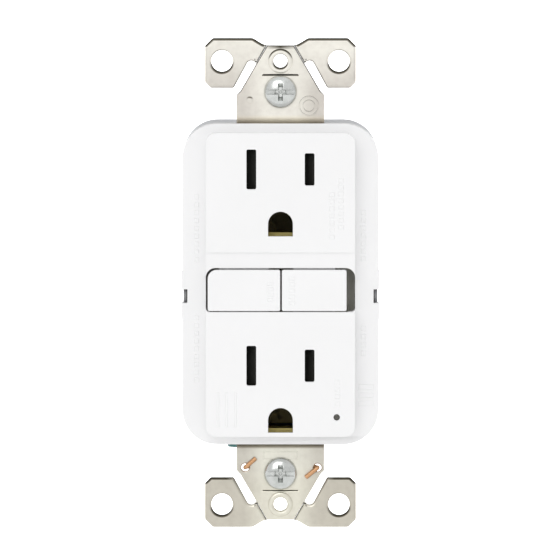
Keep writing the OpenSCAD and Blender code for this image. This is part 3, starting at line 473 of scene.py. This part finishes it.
def upright(mesh):
    """Makes normals point outwards after a mirrored copy was joined in."""
    bm = bmesh.new()
    bm.from_mesh(mesh)
    bmesh.ops.recalc_face_normals(bm, faces=bm.faces)
    bm.to_mesh(mesh)
    bm.free()
    return mesh


# ---- Cover and buttons ----


FACE_Y = -8.0
FLANGE_Y = -3.2
BAR_H = 0.1
NEAR = 0.01
FACE_SIDE, FACE_TOP, FACE_BOTTOM = 14.05, 31, -31.2  # outside these the face's own rim runs
BUTTON_ROW = (-7, 5)  # heights where the rim is cut by the buttons
# Zones (x0, x1, z0, z1) that hold the raised bars
FACE_BARS = (
    (10.6, 13.8, 9.7, 23.7), (11.8, 13, -26.7, -20), (-13.9, -9.5, -31.3, -23.5),
    (-2.9, -1.5, -3.9, 1), (1.8, 3.2, -4.6, 2.3),
)
FLANGE_BARS = ((-18.9, -17.7, -21.7, 20.1), (17.5, 18.7, -15.9, 16.7), (17, 20.4, -26.9, -21.3))


def near_bar(p, zones):
    return any(x0 < p.x < x1 and z0 < p.z < z1 for x0, x1, z0, z1 in zones)


def on_bar(p):
    """Whether a point (mm) lies on one of the low raised bars of the face, the flange or a button."""
    on_face = p.y < FACE_Y - NEAR or (p.y < FACE_Y + NEAR and near_bar(p, FACE_BARS))
    on_flange = FLANGE_Y - BAR_H - NEAR < p.y < FLANGE_Y + NEAR and near_bar(p, FLANGE_BARS)
    return on_face or on_flange


def on_bar_top(p):
    """Whether a point (mm) lies on the front of a raised bar of the face, the flange or a button."""
    return p.y < FACE_Y - BAR_H + NEAR or (abs(p.y - FLANGE_Y + BAR_H) < NEAR and on_bar(p))


def on_face_rim(p):
    outside = abs(p.x) > FACE_SIDE or p.z > FACE_TOP or p.z < FACE_BOTTOM
    return p.y < FACE_Y + 0.4 and outside and not BUTTON_ROW[0] < p.z < BUTTON_ROW[1]


def on_flange_rim(p):
    return abs(p.y - FLANGE_Y) < 0.1 and (abs(p.x) > 20.5 or abs(p.z) > 33.9)


def build_cover():
    """Cover with a soft edge round the face and the flange and crisp edges round its openings."""
    bm = cad_copy("cover")
    round_edges(bm, 0.5, 4, on_face_rim)
    round_edges(bm, 0.7, 5, on_flange_rim)
    round_edges(bm, 0.12, 3, lambda p: not on_bar(p))
    round_edges(bm, 0.08, 1, on_bar_top)
    return finish_piece(
        mesh_of(bm, "cover_shell"), "cover_shell", DEVICE, "white_plastic", replaced=("cover",))


def build_button(node, body):
    bm = cad_copy(node)
    round_edges(bm, 0.3, 4, lambda p: p.y < FACE_Y + 0.2 and not on_bar(p))
    round_edges(bm, 0.1, 3, lambda p: not on_bar(p))
    round_edges(bm, 0.08, 1, on_bar_top)
    return finish_piece(mesh_of(bm, node + "_cap"), node + "_cap", body, "white_plastic", replaced=(node,))


def build_housing():
    bm = cad_copy("rear_housing")
    round_edges(bm, 0.25, 3, lambda p: p.y > 27.5)
    round_edges(bm, 0.1, 2)
    return finish_piece(
        mesh_of(bm, "housing_shell"), "housing_shell", DEVICE, "grey_plastic", replaced=("rear_housing",))


# ---- Strap ----

STRAP_T = 1.3
TAB_EDGE = [(9.55, 32.9), (9.55, 41.0), (8.74, 41.8), (5.3, 47.7), (2.92, 51.8)]
HOLE_Z = 48.4
SCREW_Z = 41.67
BEND_Z = (33.4, 36.2)
BEND_DEPTH = 1.8


def cut_from(mesh, cutters):
    """The mesh less every (mesh, matrix) cutter."""
    body = bpy.data.objects.new("body", mesh)
    bpy.context.scene.collection.objects.link(body)
    tools = []
    for tool_mesh, matrix in cutters:
        tool = bpy.data.objects.new("tool", tool_mesh)
        bpy.context.scene.collection.objects.link(tool)
        tool.matrix_world = matrix
        cut = body.modifiers.new("cut", "BOOLEAN")
        cut.object = tool
        cut.solver = "EXACT"
        tools.append(tool)
    bpy.context.view_layer.update()
    result = bpy.data.meshes.new_from_object(body.evaluated_get(bpy.context.evaluated_depsgraph_get()))
    for spent in tools + [body]:
        bpy.data.objects.remove(spent)
    return result


def tapered_block(length, foot, width, foot_width, depth):
    """Tapered cutter along X, open at the top (z = 0) and narrower at its foot."""
    bm = bmesh.new()
    corners = ((-1, -1), (1, -1), (1, 1), (-1, 1))
    top = [bm.verts.new((sx * length / 2 * MM, sy * width / 2 * MM, 0.6 * MM)) for sx, sy in corners]
    low = [bm.verts.new((sx * foot / 2 * MM, sy * foot_width / 2 * MM, -depth * MM)) for sx, sy in corners]
    bm.faces.new(top)
    bm.faces.new(low[::-1])
    for i in range(4):
        j = (i + 1) % 4
        bm.faces.new((low[i], low[j], top[j], top[i]))
    bmesh.ops.recalc_face_normals(bm, faces=bm.faces)
    return mesh_of(bm, "tapered_block")


def tab_plate(more=()):
    """Middle of one strap end with its holes and blind slit, bent back to enter the cover."""
    outline = TAB_EDGE + mirrored(TAB_EDGE)
    slit = [(-3.8, 45.35), (3.8, 45.35), (3.8, 45.45), (-3.8, 45.45)]
    holes = [circle(0, HOLE_Z, 2.3), circle(0, SCREW_Z, 2.05), slit] + list(more)
    bm = bmesh.new()
    bm.from_mesh(plate_mesh("tab", [outline] + holes, -STRAP_T, 0, 0.26))
    cuts = 10
    for i in range(cuts + 1):
        level = BEND_Z[0] + (BEND_Z[1] - BEND_Z[0]) * i / cuts
        bmesh.ops.bisect_plane(
            bm, geom=bm.verts[:] + bm.edges[:] + bm.faces[:], plane_co=(0, 0, level * MM), plane_no=(0, 0, 1))
    for v in bm.verts:
        t = min(1, max(0, (BEND_Z[1] - v.co.z / MM) / (BEND_Z[1] - BEND_Z[0])))
        v.co.y += BEND_DEPTH * MM * t * t * (3 - 2 * t)
    floor_outline = [(-3.9, 45.2), (3.9, 45.2), (3.9, 45.6), (-3.9, 45.6)]
    bm.from_mesh(plate_mesh("floor", [floor_outline], -0.4, -0.1, 0.02))
    return mesh_of(bm, "tab")


def ear_plate():
    """Right-hand break-off ear of one strap end, meeting the tab along its score line."""
    outline = (
        [(2.95, 51.85), (5.33, 47.75)]
        + arc(6.35, 47.4, 1.05, 160, 20, 6)
        + [(10.1, 42.65), (10.35, 42.5)]
        + [(15.0, 42.5), (15.3, 42.6), (16.4, 43.7), (16.5, 44.0)]
        + [(16.5, 51.4), (16.4, 51.75), (14.85, 53.3), (14.5, 53.4)]
        + [(6.3, 53.4), (5.9, 53.3), (4.0, 52.15), (3.6, 52.0)]
    )
    return plate_mesh("ear", [outline, circle(12.75, HOLE_Z, 2.325)], -STRAP_T, 0, 0.6)


def formed_ring():
    """Rolled collar of the tapped wall-plate hole, drawn along +Z towards the front."""
    roll = [i * math.pi / 10 for i in range(11)]
    lip = [(2.1 + 0.6 * math.cos(a), 1.2 + 0.4 * math.sin(a)) for a in roll]
    return lathe_mesh("ring", [(2.1, -1.2), (2.7, 0.3)] + lip + [(1.5, -1.2), (2.1, -1.2)])


def strap_core():
    """The strap inside the cover, between its two bends."""
    bm = cad_copy("mounting_strap")
    for sign in (1, -1):
        bmesh.ops.bisect_plane(
            bm, geom=bm.verts[:] + bm.edges[:] + bm.faces[:], plane_co=(0, 0, sign * 33.1 * MM),
            plane_no=(0, 0, sign), clear_outer=True)
    return mesh_of(bm, "core")


def stamped_ring(x, z, r, w):
    """Plain stamped ring on the strap's front."""
    return plate_mesh("stamp", [circle(x, z, r), circle(x, z, r - w)], -STRAP_T - 0.08, -STRAP_T + 0.1, 0.07)


def stamped_frame(x0, x1, z0, z1, w):
    outer = [(x0, z0), (x1, z0), (x1, z1), (x0, z1)]
    inner = [(x0 + w, z0 + w), (x1 - w, z0 + w), (x1 - w, z1 - w), (x0 + w, z1 - w)]
    return plate_mesh("stamp", [outer, inner], -STRAP_T - 0.08, -STRAP_T + 0.1, 0.07)


def build_strap():
    ear, ring = ear_plate(), formed_ring()
    clip_holes = [circle(-7.7, 40.35, 0.85, 24), circle(8.1, 40.4, 0.85, 24)]
    ring_place = facing((0, -1, 0), (0, 0, HOLE_Z))
    parts = [(strap_core(), STAY)]
    for end, tab in ((STAY, tab_plate()), (FLIP_Z, tab_plate(clip_holes))):
        parts += [(tab, end), (ear, end), (ear, end @ FLIP_X), (ring, end @ ring_place)]
    bead = lathe_mesh("bead", [(0.8, -0.1), (0.75, 0.02), (0.5, 0.12), (0.2, 0.16)], 24)
    parts.append((bead, facing((0, -1, 0), (-6.7, -STRAP_T, 39.9))))
    parts.append((stamped_ring(6.2, 38.6, 2.2, 0.25), STAY))
    parts.append((stamped_ring(6.2, 38.6, 1.35, 0.2), STAY))
    parts.append((stamped_frame(-3.8, 3.8, -38.6, -36.8, 0.22), STAY))
    mesh = upright(joined("strap_sheet", parts))
    return finish_piece(mesh, "strap_sheet", DEVICE, "zinc_plated_steel", 40, ("mounting_strap",))


def build_clip():
    front, back = -STRAP_T - 0.49, 0.49
    path = filleted(
        [(-5.4, front, -38.3), (-7.7, front, -40.35), (-7.7, back, -40.35), (0, back, -39.3),
         (8.1, back, -40.4), (8.1, front, -40.4), (5.5, front, -42.5)], 0.4)
    return finish_piece(
        tube_mesh("clip_wire", path, 0.47), "clip_wire", DEVICE, "bronze", 50, ("self_grounding_clip",))


# ---- Screws ----


def screw_head(r, h, cross):
    """Domed head along +Z from its seat, with a cross recess and a driver slot through it."""
    angles = [i * math.pi / 2 / 14 for i in range(14)]
    dome = [(r * math.cos(a), 0.3 * h + 0.7 * h * math.sin(a)) for a in angles]
    mesh = lathe_mesh("head", [(r * 0.95, 0), (r, 0.1 * h)] + dome + [(0.02, h)], 72)
    width = 0.24 * cross
    lift = Matrix.Translation((0, 0, h * MM))
    turned = lift @ Matrix.Rotation(math.pi / 2, 4, "Z")
    diagonal = lift @ Matrix.Rotation(math.pi / 4, 4, "Z")
    core = 0.36 * cross
    cut = cut_from(mesh, [
        (tapered_block(cross, 0.4 * cross, width, 0.6 * width, 0.66 * h), lift),
        (tapered_block(cross, 0.4 * cross, width, 0.6 * width, 0.66 * h), turned),
        (tapered_block(core, 0.3 * core, core, 0.3 * core, 0.74 * h), diagonal),
        (tapered_block(2.4 * r, 2.4 * r, width, 0.8 * width, 0.42 * h), lift),
    ])
    bm = bmesh.new()
    bm.from_mesh(cut)
    bmesh.ops.remove_doubles(bm, verts=bm.verts, dist=1e-7)
    round_edges(bm, 0.07, 2, angle=35)
    return mesh_of(bm, "head")


def threaded_shank(r, length, pitch=0.794, steps=28):
    """Threaded shank along -Z from the origin, with a short chamfer at its tip."""
    depth = 0.55 * pitch
    rows = int(length / pitch * 8)
    bm = bmesh.new()
    rings = []
    for row in range(rows + 1):
        z = length * row / rows
        ring = []
        for i in range(steps):
            turn = (z / pitch + i / steps) % 1
            cut = abs(2 * turn - 1) * depth
            tip = max(0, z - (length - 0.7)) * 0.6
            radius = max(0.3, r - min(cut, depth * 0.85) - tip)
            angle = 2 * math.pi * i / steps
            ring.append(bm.verts.new((radius * MM * math.cos(angle), radius * MM * math.sin(angle), -z * MM)))
        rings.append(ring)
    for a, b in zip(rings, rings[1:]):
        for i in range(steps):
            j = (i + 1) % steps
            bm.faces.new((a[i], b[i], b[j], a[j]))
    bm.faces.new(rings[0])
    bm.faces.new(rings[-1][::-1])
    bmesh.ops.recalc_face_normals(bm, faces=bm.faces)
    return mesh_of(bm, "shank")


def build_box_screws():
    head = screw_head(3.5, 2.05, 5.2)
    neck = lathe_mesh("neck", [(1.55, 0.1), (1.55, -4.4), (0.02, -4.4)], 32)
    shank = threaded_shank(1.75, 17.7)
    for end, sign in (("upper", 1), ("lower", -1)):
        seat = facing((0, -1, 0), (0, -1.35, sign * SCREW_Z))
        tip = facing((0, -1, 0), (0, 3, sign * SCREW_Z))
        mesh = joined("box_screw", [(head, seat), (neck, seat), (shank, tip)])
        node = end + "_mounting_screw"
        finish_piece(mesh, node + "_steel", node + "_body", "bright_steel", 40, (node,))


def build_terminal_screws():
    head = screw_head(4, 2.9, 5.4)
    shank = threaded_shank(1.95, 5.8)
    for node in ("load_hot_screw", "load_neutral_screw", "line_hot_screw", "line_neutral_screw"):
        low, high = (Vector(p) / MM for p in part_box(node))
        side = 1 if high.x > 0 else -1
        middle = (low + high) / 2
        seat = facing((side, 0, 0), (side * 17.25, middle.y, middle.z))
        mesh = joined("terminal_screw", [(head, seat), (shank, seat)])
        finish_piece(mesh, node + "_turned", body_of_node[node], slot_of_node[node], 40, (node,))


# ---- Springs and winding ----


def coil_path(r, length, turns, steps=22):
    """Points of a coil along +Z with closed end turns."""
    path = []
    for i in range(int(turns * steps) + 1):
        t = i / (turns * steps)
        eased = t - 0.35 * math.sin(2 * math.pi * t) / (2 * math.pi)
        angle = 2 * math.pi * i / steps
        path.append((r * math.cos(angle), r * math.sin(angle), length * eased))
    return path


def build_spring(node, along, anchor, wire, turns):
    """Coil over the CAD spring's length."""
    low, high = (Vector(p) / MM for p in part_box(node))
    axis = Vector(along)
    length = abs((high - low).dot(axis))
    across = [(high - low)[i] for i in range(3) if abs(axis[i]) < 0.5]
    middle = (low + high) / 2
    start = middle - axis * length / 2
    mesh = tube_mesh(node, coil_path(max(across) / 2 - wire, length - 2 * wire, turns), wire, 8)
    mesh.transform(facing(along, start + axis * wire))
    piece = finish_piece(mesh, node + "_coil", DEVICE, "bright_steel", 60, (node,))
    held_at = tuple(c * MM for c in anchor(low, high))
    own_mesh(piece)


def build_winding():
    """Winding with its outer turns showing."""
    low, high = (Vector(p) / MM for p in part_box("solenoid_winding"))
    turns = 44
    height = high.z - low.z
    r = (high.x - low.x) / 2
    outer = []
    for i in range(turns):
        for step in range(4):
            outer.append((r - 0.12 + 0.12 * math.sin(math.pi * step / 3), height * (i + step / 4) / turns))
    mesh = lathe_mesh("winding", [(2.95, 0)] + outer + [(r - 0.12, height), (2.95, height), (2.95, 0)], 40)
    mesh.transform(Matrix.Translation(Vector((0, (low.y + high.y) / 2, low.z)) * MM))
    finish_piece(mesh, "winding_turns", DEVICE, "copper", 60, ("solenoid_winding",))


# ---- Everything else keeps its CAD shape, with softened edges ----

EDGE = {"contact_frame": 0.15, "circuit_board": 0.05, "latch_plate": 0.08}


def soften(node):
    """Rounds a CAD node's edges with modifiers and gives it its material."""
    part = nodes[node]
    slot = slot_of_node[node]
    part.data.materials.clear()
    part.data.materials.append(materials[slot])
    part.modifiers.new("weld", "WELD").merge_threshold = 1e-6
    flat = part.modifiers.new("flat", "DECIMATE")
    flat.decimate_type = "DISSOLVE"
    flat.angle_limit = math.radians(0.5)
    edge = part.modifiers.new("edge", "BEVEL")
    edge.width = EDGE.get(node, 0.12) * MM
    edge.segments = 2
    edge.limit_method = "ANGLE"
    edge.angle_limit = math.radians(35)
    edge.harden_normals = False
    part.modifiers.new("even_normals", "WEIGHTED_NORMAL")


build_cover()
build_button("test_button", "test_button_body")
build_button("reset_button", "reset_button_body")
build_housing()
build_strap()
build_clip()
build_box_screws()
build_terminal_screws()
build_winding()

BUTTON_SEAT = 1.9
SHUTTER_POST = 2.0


def on_button_seat(low, high):
    return low.x, BUTTON_SEAT, low.z


def on_shutter_post(low, high):
    return SHUTTER_POST, low.y, low.z


build_spring("test_spring", (0, 1, 0), on_button_seat, 0.22, 5)
build_spring("reset_spring", (0, 1, 0), on_button_seat, 0.22, 5)
for level in ("upper", "lower"):
    build_spring(
        f"shutter_spring_{level}", (1, 0, 0), on_shutter_post, 0.12, 7)
build_spring("plunger_spring", (0, 0, 1), lambda a, b: (a.x, a.y, a.z), 0.22, 4)

replaced_nodes = {
    "cover", "test_button", "reset_button", "rear_housing", "mounting_strap", "self_grounding_clip",
    "upper_mounting_screw", "lower_mounting_screw", "load_hot_screw", "load_neutral_screw",
    "line_hot_screw", "line_neutral_screw", "solenoid_winding", "test_spring", "reset_spring",
    "shutter_spring_upper", "shutter_spring_lower", "plunger_spring",
}
for name in nodes:
    if name not in replaced_nodes:
        soften(name)


# ---- Studio ----


def from_direction(tree, component):
    """Maps a direction component from -1..1 to 0..1."""
    node = tree.nodes.new("ShaderNodeMapRange")
    node.inputs["From Min"].default_value = -1.0
    tree.links.new(component, node.inputs["Value"])
    return node.outputs["Result"]


def looking_at(place, target):
    """Stands a light or a camera at place, pointing at target."""
    turn = (target - place).to_track_quat("-Z", "Y").to_matrix().to_4x4()
    return Matrix.Translation(place) @ turn


def build_studio():
    """Pale floor and backdrop in one sweep that glows behind the object, a soft field and one soft light."""
    reach, back, floor, bend = 2.5, 0.5, -0.09, 0.1
    profile = [(-reach, floor), (back, floor)]
    for step in range(1, 9):
        a = step * math.pi / 16
        profile.append((back + bend * math.sin(a), floor + bend * (1 - math.cos(a))))
    profile.append((back + bend, 0.085))
    bm = bmesh.new()
    rows = [[bm.verts.new((x, y, z)) for x in (-reach, reach)] for y, z in profile]
    for a, b in zip(rows, rows[1:]):
        bm.faces.new((a[0], a[1], b[1], b[0]))
    backdrop_mesh = mesh_of(bm, "backdrop")
    backdrop_mesh.shade_smooth()
    paper = bpy.data.materials.new("paper")
    paper.use_nodes = True
    shader = paper.node_tree.nodes["Principled BSDF"]
    shader.inputs["Base Color"].default_value = (0.95, 0.95, 0.95, 1)
    shader.inputs["Roughness"].default_value = 0.9
    shader.inputs["Emission Strength"].default_value = 0.9
    place = paper.node_tree.nodes.new("ShaderNodeTexCoord").outputs["Object"]
    depth = component(paper.node_tree, place, "Y")
    glow = ramp(paper.node_tree, depth, [(0.1, grey(0.25)), (0.35, grey(1.0))])
    paper.node_tree.links.new(glow, shader.inputs["Emission Color"])
    backdrop_mesh.materials.append(paper)
    backdrop = bpy.data.objects.new("backdrop", backdrop_mesh)
    bpy.context.scene.collection.objects.link(backdrop)

    world = bpy.data.worlds.new("studio")
    bpy.context.scene.world = world
    world.use_nodes = True
    tree = world.node_tree
    split = tree.nodes.new("ShaderNodeSeparateXYZ")
    tree.links.new(tree.nodes.new("ShaderNodeTexCoord").outputs["Generated"], split.inputs["Vector"])
    height = ramp(
        tree, from_direction(tree, split.outputs["Z"]),
        [(0.0, grey(0.5)), (0.46, grey(0.8)), (0.56, grey(1.0)), (0.7, grey(1.0)), (1.0, grey(1.25))],
    )
    front = ramp(
        tree, from_direction(tree, split.outputs["Y"]),
        [(0.5, grey(1.0)), (0.75, grey(0.5)), (0.9, grey(0.3))],
    )
    field = tree.nodes.new("ShaderNodeMix")
    field.data_type = "RGBA"
    field.blend_type = "MULTIPLY"
    field.inputs["Factor"].default_value = 1.0
    tree.links.new(height, field.inputs["A"])
    tree.links.new(front, field.inputs["B"])
    background = tree.nodes["Background"]
    tree.links.new(field.outputs["Result"], background.inputs["Color"])
    background.inputs["Strength"].default_value = 0.795

    lamp = bpy.data.lights.new("key_light", "AREA")
    lamp.size = 0.9
    lamp.energy = 3.7
    light = bpy.data.objects.new("key_light", lamp)
    light.matrix_world = looking_at(Vector((-0.3, -1.3, 0.75)), Vector((0, 0, 0)))
    bpy.context.scene.collection.objects.link(light)


def build_camera():
    """Long lens almost square to the face, a little above its middle."""
    view_height = 0.1221
    distance = 4.0
    elevation = math.radians(2.7)
    target = Vector((-0.0001, -0.003, 0.00068))
    camera_data = bpy.data.cameras.new("camera")
    camera_data.sensor_width = 36
    camera_data.lens = 36 * distance / view_height
    camera_data.clip_end = 20
    camera = bpy.data.objects.new("camera", camera_data)
    offset = Vector((0, -math.cos(elevation), math.sin(elevation))) * distance
    camera.matrix_world = looking_at(target + offset, target)
    bpy.context.scene.collection.objects.link(camera)
    bpy.context.scene.camera = camera


build_studio()
build_camera()
bpy.context.scene.view_settings.view_transform = "Standard"
bpy.context.scene.view_settings.look = "None"
